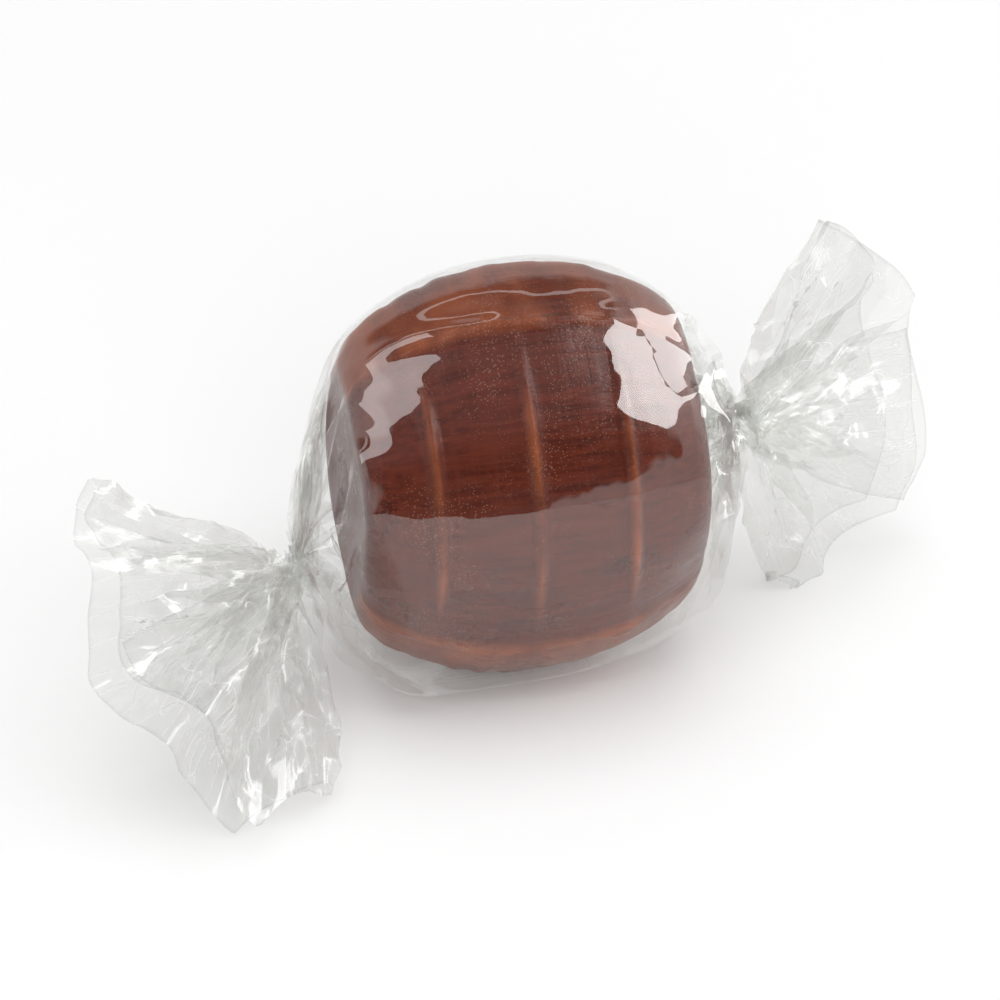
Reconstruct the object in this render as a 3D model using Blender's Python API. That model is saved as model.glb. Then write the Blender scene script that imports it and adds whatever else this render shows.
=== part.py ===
"""Root beer barrel candy in its clear twist wrapper.

The hard candy is a short flattened barrel pressed between two moulds: a bulged panel in front and one behind,
each crossed by thin hoops, a side band between the panels, and a flat lens-shaped face at each end.
One sheet of clear film is rolled round it and twisted at both ends, and each tail opens into a pleated fan.
The candy leans back on its lower side band, as it is shown, and rests on a small flat of the film.

X runs through both twists, -Y is the shown front and Z is up. The origin is on the floor below the candy.
Sizes are in millimetres until the meshes are made.
"""
import math

import bpy
import numpy as np

METRES = 0.001

# Candy: length between the end faces, width across the side bands, thickness through the panels.
CANDY_LENGTH = 18.4
CANDY_WIDTH = 22.0
CANDY_THICKNESS = 15.0
PANEL_WIDTH = 18.0          # ridge to ridge at mid length
BAND_THICKNESS = 7.0        # front ridge to back ridge at mid length
END_EDGE_RADIUS = 1.1

# How far each size draws in at the end faces, as a share of its value at mid length.
WIDTH_TAPER = 0.32
PANEL_TAPER = 0.30
BAND_TAPER = 0.45
THICKNESS_TAPER = 0.20
BARREL_POWER = 2.4
ARCH_POWER = 2.0
BAND_POWER = 1.5            # the side band meets itself in a soft edge along the mould's seam

HOOP_COUNT = 3
HOOP_SPACING = 5.15
HOOP_SHIFT = -0.5           # the middle hoop lies this far off the candy's middle
HOOP_HEIGHT = 0.42
HOOP_HALF_WIDTH = 0.34
HOOP_FULL_SHARE = 0.45      # a hoop keeps its height to this share of the panel's half width
HOOP_END_SHARE = 0.95       # and is gone at this one
RIDGE_HEIGHT = 0.28
RIDGE_SHARE = 0.07          # ridge half width as a share of the panel's half width

# Pose: how far the width leans back from upright, and the height of the candy's centre.
LEAN = math.radians(18.0)
CENTRE_HEIGHT = 11.1

# Film: a thin wall that stays clear of the candy.
FILM_WALL = 0.25
FILM_GAP = 0.32
SHOULDER = 0.75             # from an end face out to where the film turns in to the twist
SHOULDER_REACH = 1.0        # how far before the end face the film starts to round over
SHOULDER_INSET = 1.0        # how far it has drawn in at the shoulder
REST_FRONT = -5.0           # the slack film under the candy lies flat between these two places
REST_BACK = 2.0
REST_HALF_LENGTH = 3.6
REST_RISE = 0.2             # share by which the slack has drawn in at the end faces
FLAT_DEPTH = 0.35           # film lower than this above the floor is laid on it

NECK_RADIUS = 1.35
NECK_LENGTH = 1.4
NECK_FLUTES = 6
NECK_FLUTE_DEPTH = 0.14
GATHER_PLEATS = 11
GATHER_DEPTH = 0.22

LAP_SLIT_WIDTH = 0.3
LAP_SLIT_LENGTH = 12.0
LAP_SLIT_DEPTH = 4.0
LAP_SLIT_ANGLE = math.radians(248.0)

FAN_PLEATS = 7
FAN_PLEAT_DEPTH = 0.95
FAN_SHALLOWEST = 0.6        # the shallowest pleat as a share of the deepest
FAN_WALL = 0.42
FAN_START = 0.13            # share of the fan's length where it opens from the neck
FAN_BLIND_END = 0.24        # share where the space between its layers ends
HEM_NOTCH = 0.45
HEM_WAVES = (3, 5, 7)
HEM_SEED = 50               # added to a twist's seed for its hem
CAVITY_END = 0.9            # share of the way to the neck where the space round the candy ends

# Each twist: its neck from the candy's centre, the way out, the way it spreads, half the spread,
# the film's length along the middle, half the space between its layers, and its one long corner, with the
# corner's half width in radians before and after it.
LEFT_TWIST = {"neck": (-12.1, -2.3, -2.3), "out": (-0.72, -0.66, -0.10), "spread": (0.42, -0.55, -0.72),
              "half_angle": math.radians(55.0), "length": 12.2, "half_gap": 1.25,
              "corner": math.radians(36.0), "corner_length": 2.8, "corner_widths": (0.28, 0.09), "seed": 3}
RIGHT_TWIST = {"neck": (11.6, 0.8, 0.2), "out": (0.81, 0.52, -0.21), "spread": (-0.17, -0.14, -0.97),
               "half_angle": math.radians(68.0), "length": 11.3, "half_gap": 1.35,
               "corner": math.radians(32.0), "corner_length": 3.4, "corner_widths": (0.42, 0.25), "seed": 8}

# Mesh steps.
PANEL_STEPS = 20
BAND_STEPS = 6
RING_POINTS = 66
SLEEVE_STEPS = 12
GATHER_STEPS = 3
NECK_STEPS = 4
FAN_STEPS = 6
EDGE_STEPS = 3
HOOP_STATIONS = (-0.85, -0.48, -0.24, 0.0, 0.24, 0.48, 0.85)
EDGE_STATION = 1.0          # a ring this far before the end face starts to round over
REACH_STEP = math.radians(3.0)
LEAST_FACING = 0.1          # keeps the film's distance finite for directions square to a tangent
SHARP_ANGLE = math.radians(40.0)

CANDY_BROWN = (0.10, 0.026, 0.014, 1.0)
CANDY_ROUGHNESS = 0.35
FILM_GREY = (0.80, 0.83, 0.82, 1.0)
FILM_ROUGHNESS = 0.1

CENTRE = np.array([0.0, 0.0, CENTRE_HEIGHT])
ALONG = np.array([1.0, 0.0, 0.0])
ACROSS = np.array([0.0, math.sin(LEAN), math.cos(LEAN)])
FRONT = np.array([0.0, -math.cos(LEAN), math.sin(LEAN)])


def unit(vector):
    """The vector at length one."""
    vector = np.asarray(vector, dtype=float)
    return vector / np.linalg.norm(vector)


# ---------------------------------------------------------------- candy

def taper(share, amount, power=BARREL_POWER):
    """What is left of a size at this share of the half length."""
    return 1.0 - amount * min(abs(share), 1.0) ** power


def hoop_place(index):
    """Where a hoop lies along the length."""
    return (index - (HOOP_COUNT - 1) / 2) * HOOP_SPACING + HOOP_SHIFT


def candy_section(x, relief):
    """The cross-section at x, once round from the left side band, as rows of (across, front)."""
    share = 2 * x / CANDY_LENGTH
    side = CANDY_WIDTH / 2 * taper(share, WIDTH_TAPER)
    ridge = PANEL_WIDTH / 2 * taper(share, PANEL_TAPER)
    crown = CANDY_THICKNESS / 2 * taper(share, THICKNESS_TAPER, ARCH_POWER)
    band = BAND_THICKNESS / 2 * taper(share, BAND_TAPER, ARCH_POWER)

    reach = np.sin(np.linspace(-1.0, 1.0, PANEL_STEPS + 1) * math.pi / 2)
    height = band + (crown - band) * (1.0 - reach ** 2)
    inside = np.clip((HOOP_END_SHARE - np.abs(reach)) / (HOOP_END_SHARE - HOOP_FULL_SHARE), 0.0, 1.0)
    height += HOOP_HEIGHT * inside * relief(x)
    height += RIDGE_HEIGHT * np.exp(-((np.abs(reach) - 1.0) / RIDGE_SHARE) ** 2)
    panel = np.column_stack([reach * ridge, height])

    drop = np.linspace(1.0, -1.0, BAND_STEPS + 1)[1:-1]
    bulge = ridge + (side - ridge) * (1.0 - np.abs(drop) ** BAND_POWER)
    band_side = np.column_stack([bulge, height[-1] * drop])
    return np.vstack([panel, band_side, panel[::-1] * (1, -1), band_side[::-1] * (-1, 1)])


def hoop_relief(x):
    """Share of the full hoop height at x."""
    return sum(math.exp(-((x - hoop_place(i)) / HOOP_HALF_WIDTH) ** 2) for i in range(HOOP_COUNT))


def candy_stations():
    """Places along the length as (x, how far the section is drawn in), close together over the hoops."""
    straight = CANDY_LENGTH / 2 - END_EDGE_RADIUS
    places = [hoop_place(i) + offset for i in range(HOOP_COUNT) for offset in HOOP_STATIONS]
    between = (HOOP_SPACING / 2, straight - EDGE_STATION, straight)
    places += [sign * place for sign in (-1, 1) for place in between]
    edge = [(straight + END_EDGE_RADIUS * math.sin(angle), END_EDGE_RADIUS * (1.0 - math.cos(angle)))
            for angle in np.linspace(0.0, math.pi / 2, EDGE_STEPS + 1)[1:]]
    left_edge = [(-x, inset) for x, inset in reversed(edge)]
    return left_edge + [(x, 0.0) for x in sorted(places)] + edge


def candy_ring(x, inset):
    """One ring of the candy's surface, in the object's frame."""
    section = candy_section(x, hoop_relief)
    section = section * (1.0 - inset / np.abs(section).max(axis=0))
    return CENTRE + x * ALONG + np.outer(section[:, 0], ACROSS) + np.outer(section[:, 1], FRONT)


# ---------------------------------------------------------------- film

def slack_corners(x):
    """The slack film's two corners on the floor, as rows of (across, front), drawn in beyond the rest."""
    beyond = max(0.0, abs(x) - REST_HALF_LENGTH) / (CANDY_LENGTH / 2 - REST_HALF_LENGTH)
    height = FILM_WALL + FILM_GAP - CENTRE_HEIGHT
    corners = np.array([(0.0, REST_FRONT, height), (0.0, REST_BACK, height)])
    return np.column_stack([corners @ ACROSS, corners @ FRONT]) * (1.0 - REST_RISE * beyond)


def film_radius(x, angles):
    """Distance from the axis to the inner side of the tight film, for each angle from the across direction.

    The film bridges every hollow, so it follows the farthest reach of the section in each direction.
    """
    section = candy_section(max(-CANDY_LENGTH / 2, min(CANDY_LENGTH / 2, x)), lambda place: 1.0)
    section = np.vstack([section, slack_corners(x)])
    ways = np.arange(0.0, 2 * math.pi, REACH_STEP)
    farthest = (section @ np.array([np.cos(ways), np.sin(ways)])).max(axis=0) + FILM_GAP
    facing = np.maximum(np.cos(angles[:, None] - ways), LEAST_FACING)
    rounding = max(0.0, abs(x) - CANDY_LENGTH / 2 + SHOULDER_REACH) / (SHOULDER_REACH + SHOULDER)
    return (farthest / facing).min(axis=1) - SHOULDER_INSET * rounding ** 2


def ring_angles():
    """Angles of a ring's points."""
    return np.arange(RING_POINTS) * 2 * math.pi / RING_POINTS


def sleeve_ring(x, wall):
    """One ring of the sleeve round the candy, with its lowest film laid flat on the floor."""
    angles = ring_angles()
    radius = film_radius(x, angles) + wall
    ring = CENTRE + x * ALONG
    ring = ring + np.outer(radius * np.cos(angles), ACROSS) + np.outer(radius * np.sin(angles), FRONT)
    if wall > 0:
        ring[ring[:, 2] < FLAT_DEPTH, 2] = 0.0
    return ring


def shoulder(side):
    """Where the sleeve turns in to a twist: side is -1 on the left and 1 on the right."""
    return side * (CANDY_LENGTH / 2 + SHOULDER)


def sleeve_stations(last):
    """Places of the sleeve's rings from -last to last, closer together towards the shoulders."""
    return last * np.sin(np.linspace(-1.0, 1.0, SLEEVE_STEPS + 1) * math.pi / 2)


def gather_ring(twist, side, share, wall):
    """A ring on the pleated film between a shoulder and its neck. Share runs from 0 to 1 towards the neck."""
    angles = ring_angles()
    start = sleeve_ring(shoulder(side), wall)
    middle = CENTRE + np.array(twist["neck"])
    radius = NECK_RADIUS if wall > 0 else NECK_RADIUS - 2 * FILM_WALL
    pull = 0.0 if wall > 0 else -side * FILM_WALL
    finish = middle + pull * ALONG
    finish = finish + radius * (np.outer(np.cos(angles), ACROSS) + np.outer(np.sin(angles), FRONT))
    ring = start + (finish - start) * share
    pleat = GATHER_DEPTH * math.sin(math.pi * share) * np.sin(GATHER_PLEATS * angles)
    return ring + np.outer(side * pleat, ALONG)


def fan_axes(twist, side):
    """Way out, way of spreading, and the way across the layers that keeps every ring turning alike."""
    out = unit(twist["out"])
    spread = np.array(twist["spread"])
    spread = unit(spread - out * (spread @ out))
    return out, spread, np.cross(side * out, spread)


def square_axes(way, side):
    """Two directions square to the way out of a neck, the first as near as can be to the candy's width."""
    level = unit(ACROSS - way * (ACROSS @ way))
    return level, np.cross(side * way, level)


def neck_ring(twist, side, share):
    """A fluted ring of the twisted neck. Share runs from 0 at the candy's end to 1 at the fan."""
    out, spread, _ = fan_axes(twist, side)
    way = unit(side * ALONG * (1.0 - share) + out * share)
    level, upright = square_axes(way, side)
    last_level, last_upright = square_axes(out, side)
    turn = share * (math.atan2(spread @ last_upright, spread @ last_level) % (2 * math.pi))
    angles = ring_angles()
    flutes = np.cos(NECK_FLUTES * angles) * math.sin(math.pi * share)
    radius = NECK_RADIUS * (1.0 + NECK_FLUTE_DEPTH * flutes)
    middle = CENTRE + np.array(twist["neck"]) + out * NECK_LENGTH * share
    ring = middle + np.outer(radius * np.cos(angles + turn), level)
    return ring + np.outer(radius * np.sin(angles + turn), upright)


def pleat_wave(twist, angle):
    """Sideways wave of both film layers of a fan, at this angle of its spread."""
    share = angle / twist["half_angle"]
    draws = np.random.default_rng(twist["seed"]).uniform(FAN_SHALLOWEST, 1.0, FAN_PLEATS + 1)
    phase = (share + 1.0) / 2 * FAN_PLEATS
    index = np.clip(phase.astype(int), 0, FAN_PLEATS)
    zigzag = 2 / math.pi * np.arcsin(np.sin(math.pi * phase))
    return FAN_PLEAT_DEPTH * draws[index] * zigzag


def hem_length(twist, angle):
    """Length of the film from neck to hem at this angle of the spread, with one long corner."""
    share = angle / twist["half_angle"]
    phases = np.random.default_rng(twist["seed"] + HEM_SEED).uniform(0.0, 2 * math.pi, len(HEM_WAVES))
    notch = sum(np.sin(wave * share + phase) for wave, phase in zip(HEM_WAVES, phases)) * HEM_NOTCH / 2
    width = np.where(angle < twist["corner"], *twist["corner_widths"])
    corner = twist["corner_length"] * np.exp(-((angle - twist["corner"]) / width) ** 2)
    return twist["length"] + notch + corner


def fan_ring(twist, side, share, wall):
    """A ring of a fan: two pleated layers that meet at its edges. Share runs from 0 at the neck to 1."""
    out, spread, layer = fan_axes(twist, side)
    base = CENTRE + np.array(twist["neck"]) + out * NECK_LENGTH
    reach_at_middle = twist["length"] * share
    half_angle = twist["half_angle"] - wall / max(reach_at_middle, 1.0)
    half_gap = NECK_RADIUS * (1.0 - share) ** 2 + twist["half_gap"] * (1.0 - (1.0 - share) ** 2) - wall
    angles = ring_angles()
    angle = half_angle * np.cos(angles)
    reach = hem_length(twist, angle) * share
    sideways = half_gap * np.sin(angles) + pleat_wave(twist, angle) * share
    ray = np.outer(np.cos(angle), out) + np.outer(np.sin(angle), spread)
    return base + reach[:, None] * ray + np.outer(sideways, layer)


def wrapper_outside():
    """Rings of the wrapper's outer side, from the left hem over the candy to the right hem."""
    fan_shares = np.linspace(1.0, FAN_START, FAN_STEPS + 1)
    neck_shares = np.linspace(1.0, 0.0, NECK_STEPS + 1)
    gather_shares = np.linspace(1.0, 0.0, GATHER_STEPS + 1)[1:-1]
    left = [fan_ring(LEFT_TWIST, -1, share, 0.0) for share in fan_shares]
    left += [neck_ring(LEFT_TWIST, -1, share) for share in neck_shares[1:]]
    left += [gather_ring(LEFT_TWIST, -1, share, FILM_WALL) for share in gather_shares]
    middle = [sleeve_ring(x, FILM_WALL) for x in sleeve_stations(shoulder(1))]
    right = [gather_ring(RIGHT_TWIST, 1, share, FILM_WALL) for share in gather_shares[::-1]]
    right += [neck_ring(RIGHT_TWIST, 1, share) for share in neck_shares[::-1][:-1]]
    right += [fan_ring(RIGHT_TWIST, 1, share, 0.0) for share in fan_shares[::-1]]
    return left + middle + right


def fan_inside(twist, side):
    """Rings of a fan's inner side, from the hem down to the blind end near the neck."""
    return [fan_ring(twist, side, share, FAN_WALL) for share in np.linspace(1.0, FAN_BLIND_END, FAN_STEPS)]


def sleeve_inside():
    """Rings of the sleeve's inner side, from the left neck to the right neck."""
    shares = np.linspace(CAVITY_END, 0.0, GATHER_STEPS + 1)[:-1]
    left = [gather_ring(LEFT_TWIST, -1, share, 0.0) for share in shares]
    middle = [sleeve_ring(x, 0.0) for x in sleeve_stations(shoulder(1) - FILM_WALL)]
    right = [gather_ring(RIGHT_TWIST, 1, share, 0.0) for share in shares[::-1]]
    return left + middle + right


# ---------------------------------------------------------------- meshes

def tube_faces(first, rings, points):
    """Quads between successive rings whose vertices start at index first."""
    faces = []
    for row in range(rings - 1):
        for column in range(points):
            a = first + row * points + column
            b = first + row * points + (column + 1) % points
            faces.append((a, b, b + points, a + points))
    return faces


def make_object(name, vertices, faces, colour, roughness):
    """A smooth-shaded object from millimetre vertices, with its own material."""
    mesh = bpy.data.meshes.new(name)
    mesh.from_pydata([tuple(vertex * METRES) for vertex in vertices], [], faces)
    mesh.validate()
    mesh.shade_smooth()
    mesh.set_sharp_from_angle(angle=SHARP_ANGLE)
    material = bpy.data.materials.new(name)
    material.use_nodes = True
    shader = material.node_tree.nodes["Principled BSDF"]
    shader.inputs["Base Color"].default_value = colour
    shader.inputs["Roughness"].default_value = roughness
    shader.inputs["Metallic"].default_value = 0.0
    mesh.materials.append(material)
    item = bpy.data.objects.new(name, mesh)
    bpy.context.scene.collection.objects.link(item)
    return item


def make_candy():
    """The pressed hard candy, closed by its two flat end faces."""
    rings = [candy_ring(x, inset) for x, inset in candy_stations()]
    points = len(rings[0])
    vertices = np.vstack(rings)
    faces = [face[::-1] for face in tube_faces(0, len(rings), points)]
    faces.append(tuple(range(points)))
    last = (len(rings) - 1) * points
    faces.append(tuple(reversed(range(last, last + points))))
    return make_object("candy", vertices, faces, CANDY_BROWN, CANDY_ROUGHNESS)


def make_wrapper():
    """The film: its outer side, the fans' inner sides, which join it at the hems, and the sleeve's inside."""
    outside = wrapper_outside()
    left_inside = fan_inside(LEFT_TWIST, -1)
    right_inside = fan_inside(RIGHT_TWIST, 1)
    skin = left_inside[::-1] + outside + right_inside
    cavity = sleeve_inside()
    points = RING_POINTS
    vertices = np.vstack(skin + cavity)
    faces = tube_faces(0, len(skin), points)
    faces.append(tuple(reversed(range(points))))
    last = (len(skin) - 1) * points
    faces.append(tuple(range(last, last + points)))
    first = len(skin) * points
    faces += [face[::-1] for face in tube_faces(first, len(cavity), points)]
    faces.append(tuple(range(first, first + points)))
    last = first + (len(cavity) - 1) * points
    faces.append(tuple(reversed(range(last, last + points))))
    return make_object("wrapper", vertices, faces, FILM_GREY, FILM_ROUGHNESS)


def cut_lap_slit(wrapper):
    """The open edge of the lap, where the rolled sheet's two long sides pass each other behind the candy."""
    bpy.ops.mesh.primitive_cube_add(size=1.0)
    cutter = bpy.context.object
    cutter.name = "lap_slit"
    away = math.cos(LAP_SLIT_ANGLE) * ACROSS + math.sin(LAP_SLIT_ANGLE) * FRONT
    distance = film_radius(0.0, np.array([LAP_SLIT_ANGLE]))[0]
    cutter.location = tuple((CENTRE + away * distance) * METRES)
    cutter.rotation_euler = (math.atan2(away[2], away[1]), 0.0, 0.0)
    cutter.scale = (LAP_SLIT_LENGTH * METRES, LAP_SLIT_DEPTH * METRES, LAP_SLIT_WIDTH * METRES)
    cutter.hide_render = True
    cutter.display_type = "WIRE"
    cut = wrapper.modifiers.new("lap slit", "BOOLEAN")
    cut.operation = "DIFFERENCE"
    cut.object = cutter


for old in list(bpy.data.objects):
    bpy.data.objects.remove(old)
make_candy()
cut_lap_slit(make_wrapper())
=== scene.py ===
import math

import bpy
import numpy as np
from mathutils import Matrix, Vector


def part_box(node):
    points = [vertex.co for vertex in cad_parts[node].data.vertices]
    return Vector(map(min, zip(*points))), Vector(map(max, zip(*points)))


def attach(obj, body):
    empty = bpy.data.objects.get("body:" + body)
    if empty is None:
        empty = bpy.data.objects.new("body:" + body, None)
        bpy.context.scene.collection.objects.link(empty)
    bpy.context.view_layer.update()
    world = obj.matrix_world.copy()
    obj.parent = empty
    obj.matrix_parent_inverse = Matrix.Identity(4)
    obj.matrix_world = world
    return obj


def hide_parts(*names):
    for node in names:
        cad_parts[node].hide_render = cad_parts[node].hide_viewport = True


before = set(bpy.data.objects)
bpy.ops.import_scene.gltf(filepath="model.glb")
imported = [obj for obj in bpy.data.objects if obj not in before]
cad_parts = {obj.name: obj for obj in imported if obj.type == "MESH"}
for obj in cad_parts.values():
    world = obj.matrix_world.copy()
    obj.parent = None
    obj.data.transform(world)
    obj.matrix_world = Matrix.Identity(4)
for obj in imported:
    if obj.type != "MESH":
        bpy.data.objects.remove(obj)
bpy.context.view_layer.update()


# ------------------------------------------------------------------ the candy
# A root beer barrel: sugar boiled hard, drawn out into a rope and pressed between two moulds while warm.
# Each mould leaves a bulged panel with thin hoops across it, and a side band runs round between the panels.
# Drawing the rope leaves fine streaks along the candy, and loose sugar clings to it as pale specks.

MM = 0.001
LEAN = math.radians(18.0)
ACROSS = np.array([0.0, math.sin(LEAN), math.cos(LEAN)])
FRONT = np.array([0.0, -math.cos(LEAN), math.sin(LEAN)])

candy_low, candy_high = (np.array(corner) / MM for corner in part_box("candy"))
candy_centre = (candy_low + candy_high) / 2
candy_length = candy_high[0] - candy_low[0]
candy_width = 22.0
candy_thickness = 15.0
panel_width = 18.0
band_thickness = 7.0
edge_radius = 1.1
hoop_places = (-5.65, -0.5, 4.65)
hoop_height = 0.42
hoop_half_width = 0.34
ridge_height = 0.28
ridge_half_width = 0.07
band_bulge_power = 1.5

# The share that each size loses towards the ends, and the power that it loses it by.
side_narrowing = (0.32, 2.4)
panel_narrowing = (0.30, 2.4)
crown_narrowing = (0.20, 2.0)
band_narrowing = (0.45, 2.0)

# Each hoop is gone at the first share of the panel's half width, and fades over the second before that.
hoop_end = 0.95
hoop_fade = 0.50


def left_over(share, amount, power):
    """What is left of a size at this share of the half length."""
    return 1.0 - amount * np.minimum(np.abs(share), 1.0) ** power


def smooth_noise(rng, shape, cells):
    """Soft random hills on a grid of this shape, from about -1 to 1, with this many cells each way."""
    coarse = rng.normal(0.0, 0.6, (cells[0] + 3, cells[1] + 3))
    for axis, (steps, count) in enumerate(zip(shape, cells)):
        place = np.linspace(0.0, count, steps) + 1.0
        first = np.minimum(place.astype(int), count)
        part = place - first
        part = part * part * (3.0 - 2.0 * part)
        lower = np.take(coarse, first, axis)
        upper = np.take(coarse, first + 1, axis)
        part = part[:, None] if axis == 0 else part[None, :]
        coarse = lower + (upper - lower) * part
    return coarse


def barrel_section(x, panel_steps, band_steps, hoops):
    """Cross-section of the barrel at x as rows of (across, front), and how far each point is on a ridge."""
    # The side band is painted lighter, partly as thinner sugar and partly as painted light from above; its
    # middle seam line gets a painted rim highlight.
    band_thin_and_lit, seam_thin_and_lit, seam_half_width = 0.75, 0.20, 0.10
    share = 2.0 * x / candy_length
    side = candy_width / 2 * left_over(share, *side_narrowing)
    ridge = panel_width / 2 * left_over(share, *panel_narrowing)
    crown = candy_thickness / 2 * left_over(share, *crown_narrowing)
    band = band_thickness / 2 * left_over(share, *band_narrowing)
    reach = np.sin(np.linspace(-1.0, 1.0, panel_steps + 1) * math.pi / 2)
    fade = np.clip((hoop_end - np.abs(reach)) / hoop_fade, 0.0, 1.0)
    hoop = fade * hoops(x)
    bead = np.exp(-((np.abs(reach) - 1.0) / ridge_half_width) ** 2)
    height = band + (crown - band) * (1.0 - reach ** 2) + hoop_height * hoop + ridge_height * bead
    drop = np.linspace(1.0, -1.0, band_steps + 1)[1:-1]
    bulge = ridge + (side - ridge) * (1.0 - np.abs(drop) ** band_bulge_power)
    panel = np.column_stack([reach * ridge, height])
    band_side = np.column_stack([bulge, height[-1] * drop])
    lift = np.maximum(hoop, bead)
    # The band's share of the lighter colour: thinner sugar plus painted light from above, brightest at the
    # middle seam.
    seam = band_thin_and_lit + seam_thin_and_lit * np.exp(-(drop / seam_half_width) ** 2)
    points = np.vstack([panel, band_side, panel[::-1] * (1, -1), band_side[::-1] * (-1, 1)])
    return points, np.concatenate([lift, seam, lift[::-1], seam[::-1]])


def hoop_bumps(x):
    """Share of the full hoop height at x."""
    return sum(math.exp(-((x - place) / hoop_half_width) ** 2) for place in hoop_places)


def rounded_in(x):
    """How far the section at x has drawn in over the rounded edge of an end face."""
    beyond = max(0.0, abs(x) - (candy_length / 2 - edge_radius)) / edge_radius
    return edge_radius * (1.0 - math.sqrt(max(0.0, 1.0 - beyond * beyond)))


def place_ring(x, section):
    """Points of a section in the frame, in millimetres."""
    return candy_centre + (x, 0.0, 0.0) + np.outer(section[:, 0], ACROSS) + np.outer(section[:, 1], FRONT)


def mesh_piece(name, points, faces):
    """A smooth-shaded piece from points in millimetres."""
    mesh = bpy.data.meshes.new(name)
    mesh.from_pydata([tuple(point * MM) for point in points], [], faces)
    mesh.shade_smooth()
    piece = bpy.data.objects.new(name, mesh)
    bpy.context.scene.collection.objects.link(piece)
    return piece


def store(piece, name, values):
    """Keep a number or a vector at each point of a piece, for its material to read."""
    kind, field = ("FLOAT", "value") if np.ndim(values) == 1 else ("FLOAT_VECTOR", "vector")
    attribute = piece.data.attributes.new(name, kind, "POINT")
    attribute.data.foreach_set(field, np.array(values, np.float32).ravel())


def barrel_mesh():
    """The pressed candy, with the unevenness of boiled sugar in its hoops, ridges and faces."""
    rng = np.random.default_rng(4)
    panel_steps, band_steps, cap_steps, station_count = 120, 30, 22, 215
    crowded_at_ends, evenly_spaced = 0.35, 0.65
    streak_depth, wave_depth, wear_depth, inset = 0.018, 0.05, 0.09, 0.06
    middle_left_open, dish_depth, worn_rim = 0.4, 0.16, 0.25
    half = candy_length / 2
    angles = np.linspace(-math.pi / 2, math.pi / 2, station_count)
    evenly = np.linspace(-1, 1, station_count)
    stations = half * np.sin(angles) * crowded_at_ends + half * evenly * evenly_spaced
    rings, lifts = [], []
    for x in stations:
        section, lift = barrel_section(x, panel_steps, band_steps, hoop_bumps)
        section = section * (1.0 - rounded_in(x) / np.abs(section).max(axis=0))
        rings.append(section)
        lifts.append(lift)
    rings, lifts = np.array(rings), np.array(lifts)
    rows, columns = lifts.shape
    away = rings / np.linalg.norm(rings, axis=2, keepdims=True)
    streaks = smooth_noise(rng, (rows, columns), (9, 130)) * streak_depth
    waves = smooth_noise(rng, (rows, columns), (14, 22)) * wave_depth
    wear = smooth_noise(rng, (rows, columns), (30, 26)) * wear_depth * lifts
    rings = rings + away * (streaks + waves + wear - inset)[..., None]
    points = [place_ring(x, section) for x, section in zip(stations, rings)]
    faces = []
    for row in range(rows - 1):
        for column in range(columns):
            a, b = row * columns + column, row * columns + (column + 1) % columns
            faces.append((a, a + columns, b + columns, b))
    ridge = list(lifts.ravel())
    for side, edge in ((-1, 0), (1, rows - 1)):
        section = rings[edge]
        previous = edge * columns
        for step in range(1, cap_steps + 1):
            share = 1.0 - step / (cap_steps + middle_left_open)
            first = sum(len(ring) for ring in points)
            dish = dish_depth * (1.0 - share ** 2) * side
            points.append(place_ring(stations[edge] - dish, section * share))
            ridge += [worn_rim * share ** 6] * columns
            for column in range(columns):
                a, b = previous + column, previous + (column + 1) % columns
                c, d = first + column, first + (column + 1) % columns
                faces.append((a, c, d, b) if side > 0 else (a, b, d, c))
            previous = first
        middle = tuple(range(previous, previous + columns))
        faces.append(middle[::-1] if side > 0 else middle)
    piece = mesh_piece("barrel_candy", np.vstack(points), faces)
    # These ridge values also carry the side band's painted light from above, besides the hoops and ridges.
    store(piece, "ridge", ridge)
    return piece


def wire(tree, *links):
    """Join sockets in pairs."""
    for source, target in zip(links[::2], links[1::2]):
        tree.links.new(source, target)


def drawn_out_noise_group():
    """A node group for noise that is drawn out by a different scale each way, as a value from 0 to 1."""
    group = bpy.data.node_groups.new("drawn_out_noise", "ShaderNodeTree")
    inputs = (("Place", "Vector"), ("Scale", "Vector"), ("Detail", "Float"), ("Roughness", "Float"))
    for name, kind in inputs:
        group.interface.new_socket(name, in_out="INPUT", socket_type="NodeSocket" + kind)
    group.interface.new_socket("Height", in_out="OUTPUT", socket_type="NodeSocketFloat")
    given = group.nodes.new("NodeGroupInput").outputs
    drawn = group.nodes.new("ShaderNodeVectorMath")
    drawn.operation = "MULTIPLY"
    noise = group.nodes.new("ShaderNodeTexNoise")
    noise.inputs["Scale"].default_value = 1.0
    wire(group, given["Place"], drawn.inputs[0], given["Scale"], drawn.inputs[1],
         drawn.outputs[0], noise.inputs["Vector"], given["Detail"], noise.inputs["Detail"],
         given["Roughness"], noise.inputs["Roughness"],
         noise.outputs["Fac"], group.nodes.new("NodeGroupOutput").inputs["Height"])
    return group


drawn_out_noise = drawn_out_noise_group()


def stretched_noise(tree, place, scale, detail, rough=0.55):
    """The drawn-out noise at this scale each way, in cells a millimetre."""
    noise = tree.nodes.new("ShaderNodeGroup")
    noise.node_tree = drawn_out_noise
    noise.inputs["Scale"].default_value = tuple(amount / MM for amount in scale)
    noise.inputs["Detail"].default_value = detail
    noise.inputs["Roughness"].default_value = rough
    wire(tree, place, noise.inputs["Place"])
    return noise.outputs["Height"]


def remap(tree, value, low, high, to_low=0.0, to_high=1.0):
    """A value stretched from one range to another and held inside it."""
    node = tree.nodes.new("ShaderNodeMapRange")
    for name, amount in (("From Min", low), ("From Max", high), ("To Min", to_low), ("To Max", to_high)):
        node.inputs[name].default_value = amount
    wire(tree, value, node.inputs["Value"])
    return node.outputs["Result"]


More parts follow.
